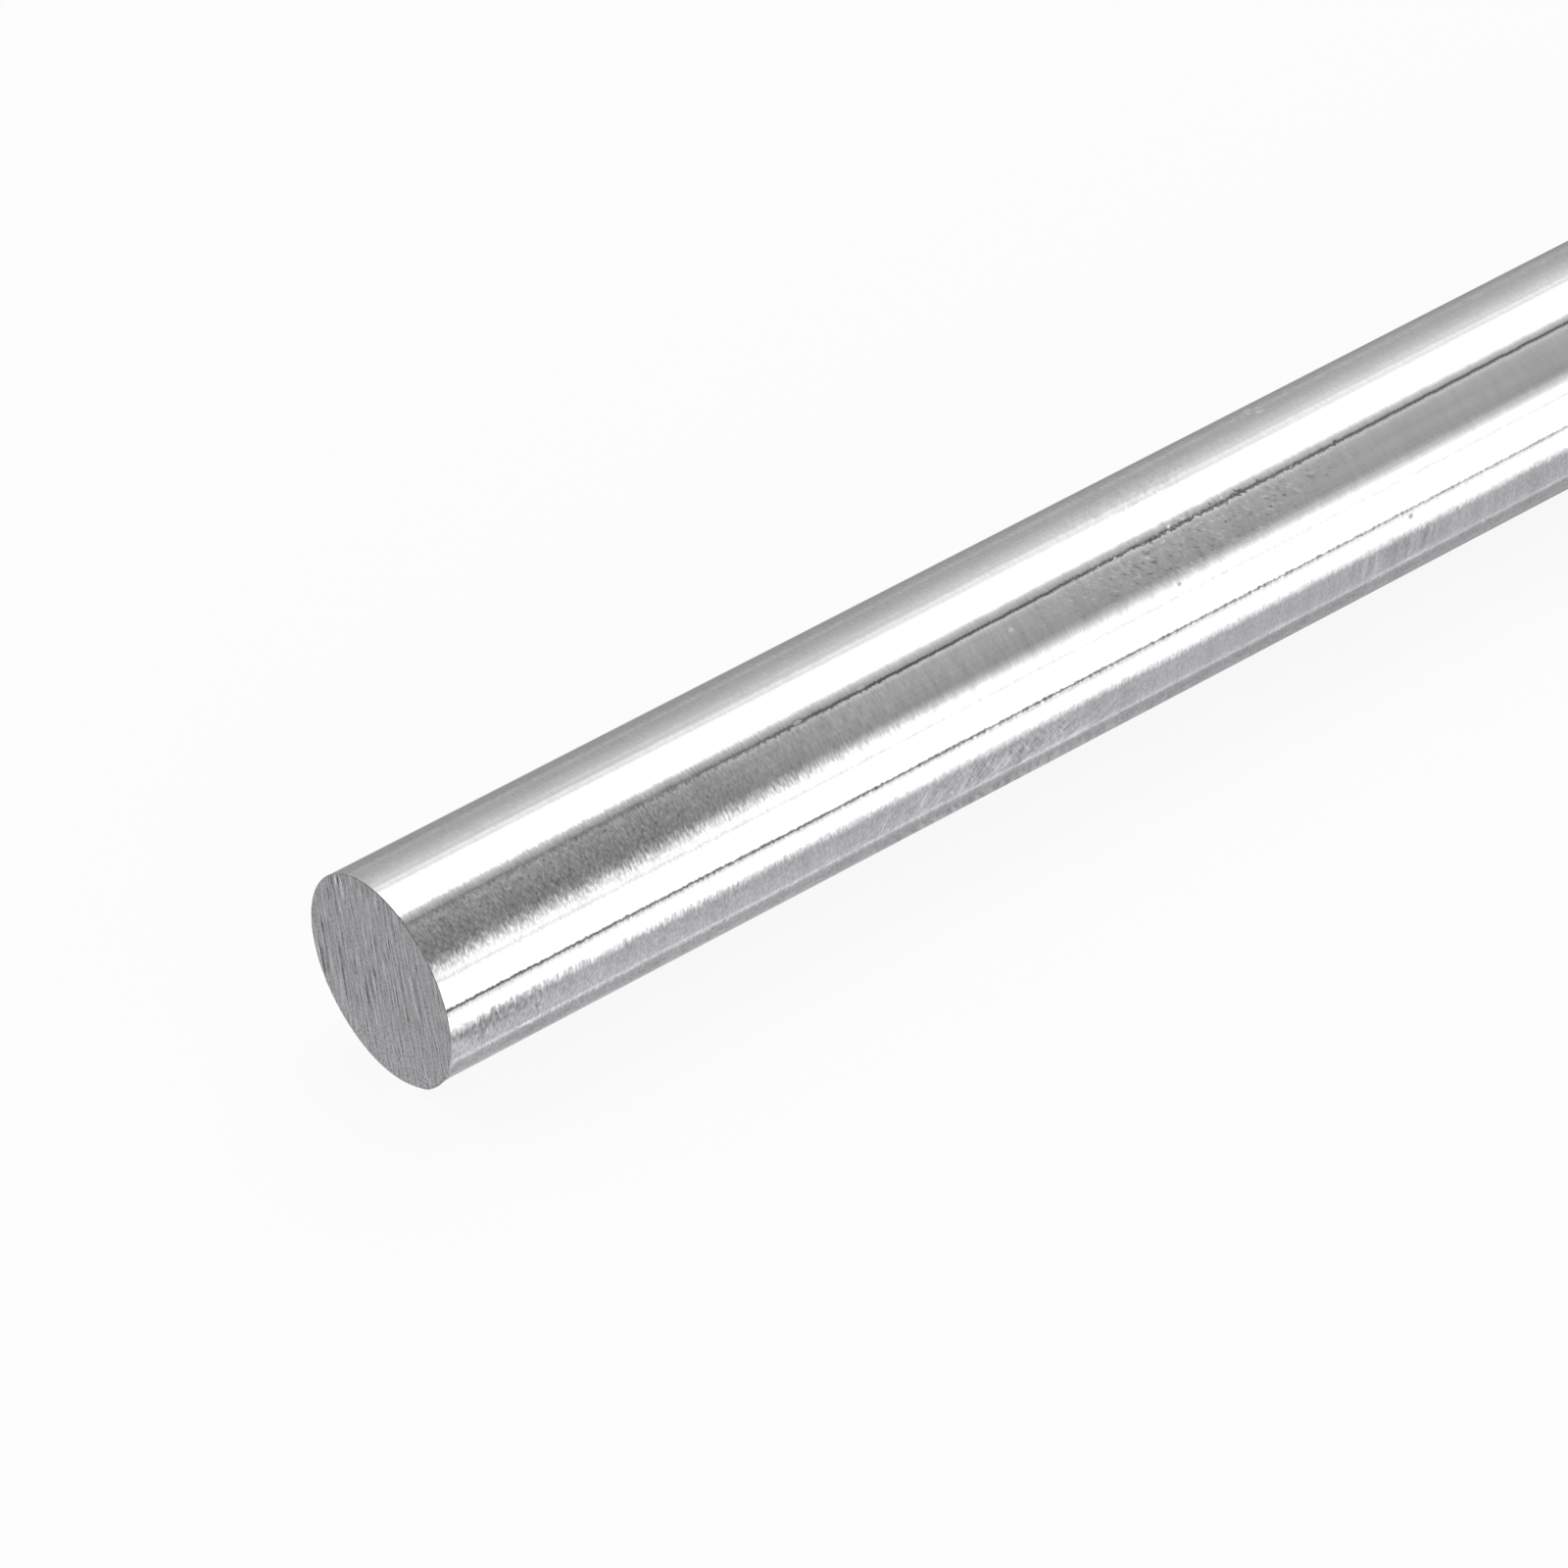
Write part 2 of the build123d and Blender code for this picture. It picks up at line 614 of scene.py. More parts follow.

# %% Scratches, pits and patches of painted shade and painted highlight
# Radii along, degrees from the top, half sizes, turn, lean and shade.
marks_and_painted_light = [
    # Light scratches on the front.
    (5.09, 92.5, 0.022, 6.0, 33, 0, 0.42),
    (5.94, 95.5, 0.022, 9.5, 43, 0, 0.42),
    (6.04, 96.0, 0.02, 8.0, 33, 0, 0.36),
    (6.13, 91.5, 0.018, 4.5, 45, 0, 0.3),
    (5.42, 99.0, 0.02, 3.5, -20, 0, 0.36),
    (4.66, 96.0, 0.02, 6.0, 24, 0, 0.24),
    (6.62, 95.0, 0.018, 6.0, 50, 0, 0.26),
    # Painted shade and painted highlight: these patches darken or lighten the steel where the
    # reflected bands, the dark seam line and the light line lie.
    (4.6, 23.05, 2.0, 1.25, 0, 0, -0.26),
    (10.8, 21.9, 2.8, 1.25, 0, 0, -0.13),
    (1.4, 36, 2.8, 6.0, 0, 0, -0.08),
    (1.4, 20.5, 2.8, 2.6, 0, 0, 0.1),
    (0.6, 81.5, 1.2, 3.2, 0, 0, -0.16),
    (0.5, 87.6, 0.8, 5.5, 0, 0, -0.18),
    (2.0, 83.5, 1.2, 3.0, 0, 0, 0.08),
    (4.2, 45.5, 1.9, 2.8, 0, 0, 0.08),
    (7.4, 48.6, 2.2, 1.8, 0, 0, -0.08),
    (4.6, 17.3, 2.2, 1.4, 0, 0, -0.13),
    (6.9, 23.4, 0.9, 1.0, 0, 0, -0.2),
    (6.9, 21.9, 0.9, 0.9, 0, 0, 0.1),
    (3.5, 24.5, 0.7, 1.2, 0, 0, 0.14),
    (4.0, -5.8, 6.0, 2.2, 0, 0, -0.05),
    (8.5, -2.5, 5.5, 1.7, 0, 0, 0.02),
    (8.5, 0.2, 5.5, 1.5, 0, 0, -0.09),
    (2.2, 106.2, 2.6, 2.0, 0, 0, 0.06),
    (6.8, 72.8, 1.2, 1.3, 0, 0, -0.09),
    (5.9, 106.0, 1.6, 1.6, 0, 0, -0.07),
    (11.2, 38.5, 2.6, 6.0, 0, 0, 0.1),
    (11.2, 47.8, 3.2, 3.2, 0, 0, -0.14),
    (11.6, -12, 4.0, 15, 0, 0, 0.06),
    (6.55, 103.5, 0.55, 3.5, 0, 0, 0.14),
    (9.15, 103, 0.16, 3.0, 0, 0, 0.14),
    (10.7, 103, 0.25, 3.0, 0, 0, 0.14),
    (0.85, 104, 0.1, 3.0, 0, 0, 0.22),
    # Light specks and a light scratch on the back, pits and a light speck on the front, and two
    # nicks that only lean the surface.
    (9.95, -30.5, 0.08, 3.2, 0, 0, 0.3),
    (9.98, -21.5, 0.07, 2.8, 0, 0, 0.3),
    (9.6, -43, 0.12, 6.0, 0, 0, 0.26),
    (10.64, 75.0, 0.042, 2.3, 0, 0.05, -0.6),
    (8.13, 49.6, 0.036, 1.8, 0, 0.04, -0.5),
    (6.43, 31.0, 0.034, 1.6, 0, 0, 0.45),
    (4.18, 22.6, 0.08, 1.5, 0, 0.05, 0.05),
    (4.88, 22.2, 0.06, 1.3, 0, -0.04, 0),
]

first_mark_seed = 30.0
print(f"{len(handling_marks)} patches of marks, {len(marks_and_painted_light)} scratches, smudges and pits")


# %% Where the marks are strong or weak
def wear_zones(tree, degrees, to_end):
    """Shares from nought to one that say where on the skin each kind of wear shows, and where the
    steel is painted darker.
    """
    off_top = math_node(tree, "ABSOLUTE", degrees)

    # Strong on the front near the ends, and all along the lower half.
    near_ends = ramp_value(tree, to_end, 2.0 * radius_mm, 5.5 * radius_mm, 1.0, 0.0)
    near_fret = ramp_value(tree, to_end, 3.0 * radius_mm, 6.5 * radius_mm, 1.0, 0.0)
    # On the front near the ends the steel is dulled, and its colour is also painted darker there,
    # as painted shade for a dark reflection.
    dulled_and_painted_dark = times(tree, between(tree, degrees, 16, 24, 46, 62), near_ends)
    lower = ramp_value(tree, off_top, 74, 84)

    # Weak further along the front, and on a calm stretch of the lower half.
    calm_front = times(
        tree,
        between(tree, degrees, 12, 18, 50, 60),
        ramp_value(tree, to_end, 8.0 * radius_mm, 11.0 * radius_mm),
    )
    calm_below = times(
        tree,
        0.4,
        between(tree, off_top, 74, 84, 100, 110),
        between(tree, to_end, 7.0 * radius_mm, 8.2 * radius_mm, 9.6 * radius_mm, 10.6 * radius_mm),
    )
    return {
        "near ends": near_ends,
        "dulled_and_painted_dark": dulled_and_painted_dark,
        "fretted": times(tree, between(tree, degrees, 17, 26, 49, 55), near_fret),
        "lower": lower,
        "crumbled": most(tree, dulled_and_painted_dark, times(tree, lower, 0.7)),
        "underneath": ramp_value(tree, off_top, 103, 124),
        "at back": ramp_value(tree, degrees, -18, -26),
        "past line": ramp_value(tree, degrees, 58, 66),
        "calm": plus(tree, 1.0, times(tree, most(tree, calm_front, calm_below), -0.5)),
    }


# %% How far the marks lean the surface
def strength_of_marks(tree, degrees, zones):
    """How far the wheel's marks lean the surface here at the most, in radians."""
    fret_lean = ramp_value(tree, degrees, 38, 46, 0.040, 0.052)
    lower_lean = math_node(tree, "MULTIPLY_ADD", zones["near ends"], 0.012, 0.030)
    front_lean = math_node(tree, "MULTIPLY_ADD", zones["near ends"], 0.012, 0.006)
    smoother = minus(tree, 1.0, times(tree, zones["past line"], 0.4))
    return most(
        tree,
        times(tree, zones["fretted"], fret_lean),
        times(tree, zones["lower"], lower_lean),
        times(tree, ramp_value(tree, degrees, 12, 17), front_lean, smoother),
        0.004,
    )


def lean_of_marks(tree, skin, to_end, zones, strength):
    """How far the surface leans round the bar, in radians."""
    wheel_marks = streaks(tree, skin, 0.12, 0.33, seed=1.0)
    long_marks = streaks(tree, skin, 0.11, 1.4, seed=5.0)
    slow_wave = streaks(tree, skin, 14.0, 5.0, seed=9.0)
    ripples = streaks(tree, skin, 0.55, 1.3, seed=11.0)
    ticks = streaks(tree, skin, 0.24, 0.22, seed=15.0)
    tick_depth = ramp_value(tree, to_end, 3.0 * radius_mm, 5.5 * radius_mm, 0.004, 0.011)
    return plus(
        tree,
        times(tree, plus(tree, wheel_marks, times(tree, long_marks, 0.4)), strength),
        times(tree, slow_wave, 0.010),
        times(tree, ripples, plus(tree, 0.007, times(tree, zones["past line"], -0.007))),
        times(tree, ticks, zones["past line"], tick_depth),
    )


# %% How uneven the shade is
def grain_of_steel(tree, skin, zones):
    """Signed grain: fine streaks that crumble where the steel is dull, and faint clouds."""
    fine_grain = streaks(tree, skin, 0.095, 0.5, seed=13.0, detail=1.0)
    crumbs = streaks(tree, skin, 0.11, 0.27, seed=27.0, detail=1.0)
    clouds = streaks(tree, skin, 1.3, 3.0, seed=17.0, detail=1.0)
    return plus(
        tree,
        fine_grain,
        times(tree, minus(tree, crumbs, fine_grain), zones["crumbled"]),
        times(tree, clouds, 0.25),
    )


def shade_of_marks(tree, skin, degrees, zones, strength, grain):
    """Signed change of shade from mark to mark."""
    unevenness = plus(
        tree,
        0.12,
        times(tree, strength, 12.5),
        times(tree, zones["underneath"], 0.75),
        times(tree, zones["at back"], 0.17),
    )
    drawn_lines = streaks(tree, skin, 28.0, 0.13, seed=21.0)
    feed_lines = streaks(tree, skin, 0.30, 6.0, seed=23.0)
    return plus(
        tree,
        times(tree, grain, unevenness, zones["calm"]),
        times(tree, drawn_lines, 0.07),
        times(tree, feed_lines, ramp_value(tree, degrees, 20, 26), zones["calm"], 0.10),
    )


def handled(tree, skin, lean, uneven):
    """The lean and the shade, with the handling marks, scratches, pits and patches of painted shade
    and painted highlight added.
    """
    for mark in handling_marks:
        along, degrees, half_along, half_degrees, turn, width, length, leans, shades, kind = mark
        patch = worn_patch(tree, skin, along, degrees, half_along, half_degrees)
        marks = kind(tree, skin, width, length, turn=turn, seed=first_mark_seed + along)
        marks = times(tree, marks, patch)
        lean = plus(tree, lean, times(tree, marks, leans))
        uneven = plus(tree, uneven, times(tree, marks, shades))
    for along, degrees, half_along, half_degrees, turn, leans, shades in marks_and_painted_light:
        patch = worn_patch(tree, skin, along, degrees, half_along, half_degrees, turn)
        lean = plus(tree, lean, times(tree, patch, leans))
        uneven = plus(tree, uneven, times(tree, patch, shades))
    return lean, uneven


# %% Ground steel
grain_depth = 0.0003 * MM


def leaned_normal(tree, around, lean, grain):
    """The surface's normal, leaned round the bar, with the grain as a shallow bump."""
    normal = add_node(tree, "ShaderNodeNewGeometry").outputs["Normal"]
    aside = vector_math(tree, "SCALE", {0: around, "Scale": lean})[0]
    leaned = vector_math(tree, "ADD", {0: normal, 1: aside})[0]
    leaned = vector_math(tree, "NORMALIZE", {0: leaned})[0]
    sockets = {"Strength": 1.0, "Distance": grain_depth, "Height": grain, "Normal": leaned}
    return add_node(tree, "ShaderNodeBump", sockets).outputs[0]


def ground_steel():
    """Bright ground steel, with the marks of the wheel and of handling, and painted shade and
    painted highlight along the reflected bands.
    """
    material, tree, output = new_material("ground_steel")
    skin = unrolled_skin(tree)
    parts = split(tree, skin)
    from_middle = math_node(tree, "ABSOLUTE", minus(tree, parts["X"], half_length_mm))
    to_end = minus(tree, half_length_mm, from_middle)
    degrees = times(tree, parts["Y"], math.degrees(1 / radius_mm))

    zones = wear_zones(tree, degrees, to_end)
    strength = strength_of_marks(tree, degrees, zones)
    grain = grain_of_steel(tree, skin, zones)
    lean = lean_of_marks(tree, skin, to_end, zones, strength)
    uneven = shade_of_marks(tree, skin, degrees, zones, strength, grain)
    lean, uneven = handled(tree, skin, lean, uneven)

    # Painted shade: where the steel is dulled near the ends, its colour is painted darker, from
    # 0.71 to 0.51, for a dark reflection. The rougher steel below is real dulling. The uneven shade
    # also holds patches of painted shade and painted highlight.
    shade = ramp_value(tree, zones["dulled_and_painted_dark"], 0.0, 1.0, 0.71, 0.51, kind="LINEAR")
    shade = times(tree, shade, plus(tree, uneven, 1.0))
    colour = add_node(tree, "ShaderNodeCombineColor", {0: shade, 1: shade, 2: shade})
    roughness = ramp_value(tree, zones["dulled_and_painted_dark"], 0.0, 1.0, 0.105, 0.19, kind="LINEAR")
    roughness = plus(tree, roughness, times(tree, math_node(tree, "ABSOLUTE", grain), 0.03))
    around = add_node(tree, "ShaderNodeTangent", direction_type="RADIAL", axis="X").outputs[0]
    sockets = {
        "Base Color": colour.outputs[0],
        "Metallic": 1.0,
        "Roughness": roughness,
        "Anisotropic": 0.85,
        "Anisotropic Rotation": 0.25,
        "Normal": leaned_normal(tree, around, lean, grain),
        "Tangent": around,
    }
    steel = add_node(tree, "ShaderNodeBsdfPrincipled", sockets)
    tree.links.new(steel.outputs[0], output.inputs["Surface"])
    print(f"{material.name}: {len(tree.nodes)} nodes")
    return material


# %% [markdown]
# ## Cut steel of the ends
# A blade cut the ends and left straight marks, so they are duller than the side and a little
# bluer. The mesh has the grooves and hands on how deep each point is, how far it turns to the
# light and how bright the placed strokes are. The material paints these as light and shade: a
# little painted shade in the deep points, and painted highlight and painted shade on the two
# sides of each groove and on the placed strokes. It adds what is finer, a short grain along the
# strokes and soft clouds, and it paints the lower part of each face a little lighter, as
# painted light.

# %% Dull steel of the cut ends
handed_on = ("groove", "lit_side", "stroke")
stroke_lean = math.radians(-12)
cut_shade = 0.34
pit_depth = 0.004 * MM


def cut_steel():
    """Dull steel with straight marks, and painted highlight and shade where the mesh says the
    grooves, their lit sides and the placed strokes are.
    """
    material, tree, output = new_material("cut_steel")
    parts = place_on_object(tree)
    up = minus(tree, parts["Z"], axis_height)
    off_axis = combine(tree, parts["Y"], up)
    from_axis = vector_math(tree, "LENGTH", {0: off_axis})["Value"]
    face = vector_math(tree, "SCALE", {0: off_axis, "Scale": 1 / MM})[0]

    turn = math.degrees(stroke_lean)
    patchy = streaks(tree, face, 0.9, 3.0, turn=turn, seed=6.0)
    patchy = ramp_value(tree, patchy, -0.35, 0.35, 0.45, 1.0)
    fine = streaks(tree, face, 0.085, 0.75, turn=turn, seed=8.0)
    grain = streaks(tree, face, 0.10, 0.13, turn=turn, seed=12.0, detail=1.0)
    clouds = streaks(tree, face, 1.0, 2.2, turn=turn, seed=14.0, detail=1.0)
    groove, lit_side, stroke = (
        add_node(tree, "ShaderNodeAttribute", attribute_name=name).outputs["Fac"]
        for name in handed_on
    )
    # The lower part of each face: its grain is coarser there, and it is painted lighter, as painted
    # light.
    low = ramp_value(tree, up, -0.35 * bar_radius, -0.75 * bar_radius)
    crumbly = plus(tree, 0.60, times(tree, low, 0.30))

    # Painted light and shade: the deep points are a little darker, the lit side of each groove and
    # the light strokes lighter, the other side and the dark strokes darker, and the lower part
    # lighter. Fine streaks, grain and clouds are the steel's own uneven tone.
    uneven = plus(
        tree,
        1.0,
        times(tree, groove, -0.03),
        times(tree, lit_side, patchy, 0.90),
        stroke,
        times(tree, fine, 0.42),
        times(tree, grain, crumbly),
        times(tree, clouds, 0.11),
        times(tree, low, 0.05),
    )
    rim_from, rim_to = bar_radius - 0.055 * MM, bar_radius - 0.03 * MM
    rim = ramp_value(tree, from_axis, rim_from, rim_to, 1.0, 0.9)
    shade = times(tree, uneven, rim, cut_shade)
    bluer = times(tree, shade, 1.03)
    colour = add_node(tree, "ShaderNodeCombineColor", {0: shade, 1: shade, 2: bluer})
    sockets = {"Strength": 1.0, "Distance": pit_depth, "Height": grain}
    pitted = add_node(tree, "ShaderNodeBump", sockets).outputs[0]
    sockets = {
        "Base Color": colour.outputs[0],
        "Metallic": 1.0,
        "Roughness": math_node(tree, "MULTIPLY_ADD", fine, 0.08, 0.42),
        "Normal": pitted,
    }
    steel = add_node(tree, "ShaderNodeBsdfPrincipled", sockets)
    tree.links.new(steel.outputs[0], output.inputs["Surface"])
    print(f"{material.name}: {len(tree.nodes)} nodes")
    return material


# %% [markdown]
# ## The bar
# The body follows a rule all the way, so Geometry Nodes make it: one grid is rolled into the
# side, and two more are bent into the cut faces, with their columns laid along the strokes of
# the cut, so that each groove has its own rows of points. Most grooves come from a noise drawn
# out along the strokes, and the plainest strokes are placed.

# %% Sizes for the bar's tree
bar_inputs = {
    "Bar Radius": bar_radius,
    "Bar Length": bar_length,
    "Axis Height": axis_height,
    "Chords": 420,
    "Rings": 54,
    "Steps Along Chord": 48,
    "Rim Break": 0.05 * MM,
    "Burr": 0.16 * MM,
    "Burr Reach": 0.6 * MM,
    "Mark Depth": 0.025 * MM,
    "Mark Pitch": 0.15 * MM,
    "Mark Length": 2.0 * MM,
    "Stroke Lean": stroke_lean,
    "Seed": 3.0,
    "Side Steel": ground_steel(),
    "Cut Steel": cut_steel(),
}


def socket_kind(value):
    """The kind of socket that holds a value like this one."""
    if isinstance(value, bpy.types.Material):
        return "NodeSocketMaterial"
    return "NodeSocketInt" if isinstance(value, int) else "NodeSocketFloat"


def new_tree(name, inputs):
    """A geometry tree with a named input for each size, those sockets and its end."""
    tree = bpy.data.node_groups.new(name, "GeometryNodeTree")
    tree.is_modifier = True
    add_socket = tree.interface.new_socket
    add_socket(name="Geometry", in_out="INPUT", socket_type="NodeSocketGeometry")
    for size, value in inputs.items():
        add_socket(name=size, in_out="INPUT", socket_type=socket_kind(value))
    add_socket(name="Geometry", in_out="OUTPUT", socket_type="NodeSocketGeometry")
    sizes = tree.nodes.new("NodeGroupInput").outputs
    return tree, sizes, tree.nodes.new("NodeGroupOutput")


# %% Mesh helpers
def turned(tree, right, up, cosine, sine):
    """How far right and up a point is, once it is turned anticlockwise."""
    new_right = minus(tree, times(tree, right, cosine), times(tree, up, sine))
    return new_right, plus(tree, times(tree, right, sine), times(tree, up, cosine))


def place_of(tree):
    """The X, Y and Z of each point as it stands."""
    return split(tree, tree.nodes.new("GeometryNodeInputPosition").outputs[0])


def grid(tree, columns, rows):
    """A flat grid one metre square, with its UV map kept."""
    sockets = {
        "Size X": 1.0,
        "Size Y": 1.0,
        "Vertices X": plus(tree, columns, 1),
        "Vertices Y": plus(tree, rows, 1),
    }
    made = add_node(tree, "GeometryNodeMeshGrid", sockets).outputs
    sockets = {"Geometry": made["Mesh"], "Name": "UVMap", "Value": made["UV Map"]}
    kinds = {"data_type": "FLOAT2", "domain": "CORNER"}
    return add_node(tree, "GeometryNodeStoreNamedAttribute", sockets, **kinds).outputs[0]


def moved(tree, mesh, position):
    """The mesh with its points put there."""
    sockets = {"Geometry": mesh, "Position": position}
    return add_node(tree, "GeometryNodeSetPosition", sockets).outputs[0]


def stored(tree, mesh, name, value):
    """The mesh with a number kept at each point under this name."""
    sockets = {"Geometry": mesh, "Name": name, "Value": value}
    kinds = {"data_type": "FLOAT", "domain": "POINT"}
    return add_node(tree, "GeometryNodeStoreNamedAttribute", sockets, **kinds).outputs[0]


# %% The side and the two cut faces
crowding = 0.987
seam_gap = 5e-8


def rolled_side(tree, sizes):
    """A grid rolled into the side, with its rings crowded towards the two ends."""
    here = place_of(tree)
    share = plus(tree, here["X"], 0.5)
    wave = math_node(tree, "SINE", times(tree, share, 2 * math.pi))
    share = math_node(tree, "MULTIPLY_ADD", wave, -crowding / (2 * math.pi), share)
    along = times(tree, minus(tree, share, 0.5), sizes["Bar Length"])
    turn = math_node(tree, "MULTIPLY_ADD", here["Y"], -2 * math.pi, sizes["Stroke Lean"])
    side_y = times(tree, math_node(tree, "COSINE", turn), sizes["Bar Radius"])
    side_z = times(tree, math_node(tree, "SINE", turn), sizes["Bar Radius"])
    side = grid(tree, sizes["Rings"], times(tree, sizes["Chords"], 2))
    return moved(tree, side, combine(tree, along, side_y, side_z))


def cut_faces(tree, sizes, half_length, lean_cos, lean_sin):
    """Two grids bent into discs: each column is a chord of the disc, along the strokes."""
    here = place_of(tree)
    theta = times(tree, plus(tree, here["X"], 0.5), math.pi)
    across = times(tree, math_node(tree, "COSINE", theta), sizes["Bar Radius"], -1.0)
    reach = times(tree, math_node(tree, "SINE", theta), sizes["Bar Radius"])
    ahead = times(tree, here["Y"], 2.0, reach)
    face_y, face_z = turned(tree, across, ahead, lean_cos, lean_sin)
    face = grid(tree, sizes["Chords"], sizes["Steps Along Chord"])
    far_face = moved(tree, face, combine(tree, half_length, face_y, face_z))
    near_face = moved(tree, face, combine(tree, times(tree, half_length, -1.0), face_y, face_z))
    near_face = add_node(tree, "GeometryNodeFlipFaces", {"Mesh": near_face}).outputs[0]
    return far_face, near_face


def closed_shell(tree, meshes):
    """The meshes as one, with the points that meet at the rims and seams made one."""
    joined = tree.nodes.new("GeometryNodeJoinGeometry")
    for mesh in meshes:
        tree.links.new(mesh, joined.inputs[0])
    sockets = {"Geometry": joined.outputs[0], "Distance": seam_gap}
    return add_node(tree, "GeometryNodeMergeByDistance", sockets).outputs[0]


# %% The broken rim and its burr
face_gap = 1e-6
rim_share = 0.999
squeeze_power = 8.0
notches = 9.0


def burr_of(tree, sizes, here, to_end):
    """How far a ragged burr stands out, on the lower front of each end."""
    around = math_node(tree, "ARCTAN2", times(tree, here["Y"], -1.0), here["Z"])
    starts = ramp_value(tree, around, math.radians(96), math.radians(122))
    stops = ramp_value(tree, around, math.radians(156), math.radians(138))
    fades = ramp_value(tree, to_end, 0.0, sizes["Burr Reach"], 1.0, 0.0)
    ragged = noise_at(tree, combine(tree, times(tree, around, notches), here["X"]), 2.0)
    return times(tree, starts, stops, fades, ragged)


def broken_rim(tree, sizes, here, to_end, on_face):
    """How far from the axis each point ends up, as a share of where it stands."""
    radius = sizes["Bar Radius"]
    break_left = minus(tree, 1.0, math_node(tree, "DIVIDE", to_end, sizes["Rim Break"]))
    break_left = most(tree, break_left, 0.0)
    off_axis = vector_math(tree, "LENGTH", {0: combine(tree, here["Y"], here["Z"])})["Value"]
    on_rim = math_node(tree, "GREATER_THAN", off_axis, times(tree, radius, rim_share))
    burr = times(tree, burr_of(tree, sizes, here, to_end), on_rim, sizes["Burr"])

    # The face behind the rim is squeezed in with it, so that no chord sticks out past it.
    squeezed = math_node(tree, "DIVIDE", off_axis, radius)
    squeezed = times(tree, math_node(tree, "POWER", squeezed, squeeze_power), on_face)
    drawn_in = most(tree, times(tree, break_left, on_rim), squeezed)
    drawn_in = times(tree, drawn_in, sizes["Rim Break"])
    outwards = math_node(tree, "DIVIDE", minus(tree, burr, drawn_in), radius)
    return plus(tree, outwards, 1.0)


# %% The blade's plainest strokes
# Facing the cut: how far right and up their middle is, half their length and half their width
# in mm, their lean in degrees, and how light they are. A light stroke is painted highlight on
# the lit side of a groove, and a dark one is a deeper groove with painted shade in it.
cut_strokes = [
    (-2.72, -1.27, 1.90, 0.085, -10, -0.42),
    (-2.83, 0.75, 0.80, 0.075, -8, 0.18),
    (-2.86, -2.50, 0.90, 0.075, -10, 0.30),
    (-2.30, -3.73, 0.50, 0.080, -10, 0.32),
    (-3.98, -0.95, 1.55, 0.080, -9, -0.36),
    (-4.10, -0.67, 0.60, 0.065, -8, 0.20),
    (-3.57, -1.75, 0.75, 0.070, -11, 0.22),
    (-4.20, -1.80, 0.95, 0.110, -10, -0.44),
    (-4.44, -1.60, 0.45, 0.080, -8, 0.32),
    (-0.64, -0.60, 1.05, 0.090, -13, -0.36),
    (-0.52, -1.87, 1.10, 0.080, -15, 0.28),
    (-0.42, -0.45, 0.55, 0.065, -12, 0.22),
    (-0.88, -1.50, 1.05, 0.090, -13, -0.36),
    (-0.34, 0.19, 0.38, 0.085, -18, -0.36),
    (0.46, 1.68, 0.38, 0.095, -20, -0.38),
    (0.33, 0.90, 0.72, 0.075, -11, 0.28),
    (0.36, 0.05, 0.42, 0.070, -9, -0.24),
    (1.12, 3.60, 0.72, 0.085, -13, -0.32),
    (0.90, 3.25, 0.55, 0.070, -10, 0.20),
    (0.76, 2.65, 0.36, 0.080, -12, -0.36),
    (2.46, 0.75, 1.38, 0.080, -14, 0.34),
    (2.70, 0.97, 1.38, 0.085, -13, -0.38),
    (-2.56, 3.50, 0.72, 0.090, -13, 0.50),
    (-2.36, 3.70, 0.60, 0.080, -10, -0.34),
    (-2.86, 3.78, 0.32, 0.090, -12, -0.42),
    (-3.05, 3.65, 0.28, 0.080, -8, 0.42),
    (-3.36, 3.40, 0.36, 0.115, -8, -0.42),
    (-3.57, 2.35, 0.58, 0.080, -7, -0.28),
    (-2.78, 2.35, 0.50, 0.090, -6, 0.18),
    (-1.80, -0.45, 0.55, 0.090, -13, -0.38),
    (-1.64, 0.10, 0.30, 0.075, -8, 0.24),
    (-2.10, -0.67, 0.42, 0.070, -6, -0.26),
    (-2.05, 2.40, 0.48, 0.080, -14, -0.24),
    (-1.00, 1.80, 0.95, 0.070, -13, 0.16),
    (-0.86, 1.70, 0.95, 0.070, -12, -0.18),
    (-0.63, 3.40, 1.00, 0.080, -12, 0.22),
    (-0.70, 4.50, 0.45, 0.080, -6, -0.42),
    (-0.17, 4.45, 0.36, 0.085, -6, 0.32),
    (0.12, 4.40, 0.50, 0.080, -6, -0.28),
    (-1.05, 4.60, 0.24, 0.080, -6, -0.32),
    (-1.45, 4.40, 0.30, 0.075, -6, -0.24),
    (-1.18, 4.15, 0.22, 0.075, -6, 0.24),
    (1.80, -0.20, 0.60, 0.075, -17, -0.22),
    (2.00, -0.80, 0.16, 0.100, -10, -0.32),
    (1.22, -3.65, 0.16, 0.095, -8, -0.38),
    (1.38, -3.45, 0.16, 0.085, -8, 0.30),
    (3.45, -3.35, 0.22, 0.080, -8, 0.36),
    (3.25, -3.60, 0.28, 0.085, -8, -0.30),
    (1.18, -4.50, 0.25, 0.080, -6, -0.30),
    (2.70, 2.75, 0.20, 0.090, -6, -0.26),
]
bell_over_stroke = 0.7056  # how wide a stroke's bell is, over the width given
least_bell = 0.050  # mm, the narrowest bell
gain_of_light = 1.75  # how much a light stroke shows, over the lightness given
gain_of_dark = 1.2825  # the same of a dark one

print(f"{len(cut_strokes)} placed strokes on each end")


# %% Grooves of the cut
half_step = 0.035 * MM
apart_in_noise = 7.3
deep_apart = 40.0


